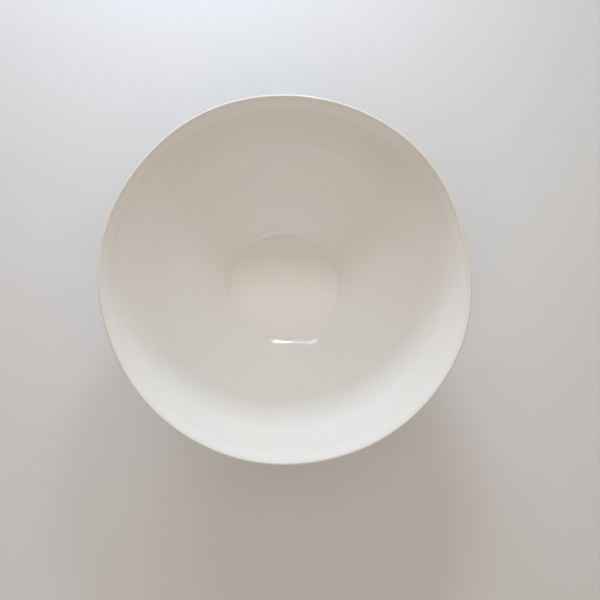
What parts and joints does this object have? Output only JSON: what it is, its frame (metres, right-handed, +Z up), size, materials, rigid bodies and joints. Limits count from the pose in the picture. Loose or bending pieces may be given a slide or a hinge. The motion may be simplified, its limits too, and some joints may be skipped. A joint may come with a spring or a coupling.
{
  "type": "porcelain serving bowl",
  "caption": "Open hand-thrown porcelain serving bowl with a flat floor, a soft collar below a thin wavy lip, and a bare foot ring.",
  "frame": {"origin": "centre of the foot ring's bearing face, on the axis that the bowl is turned on", "axes": "+Z up along the turning axis, out of the bowl's mouth; +X and +Y lie along the rim and are not special"},
  "size_m": [0.2802, 0.2784, 0.1109],
  "materials": {
    "porcelain_body": "bare fired porcelain",
    "bare_foot": "bare fired porcelain, rubbed smooth",
    "slip": "bare fired slip",
    "inside_glaze": "clear gloss glaze on warm white porcelain",
    "outside_glaze": "clear gloss glaze on warm white porcelain",
    "base_glaze": "clear gloss glaze on warm white porcelain",
    "lip_wash": "thin tan wash, half gloss"
  },
  "bodies": {
    "root": {"bowl_body": "porcelain_body", "foot_ring": "bare_foot", "luting_slip": "slip", "interior_glaze": "inside_glaze", "exterior_glaze": "outside_glaze", "underside_glaze": "base_glaze", "lip_band": "lip_wash"}
  },
  "joints": []
}
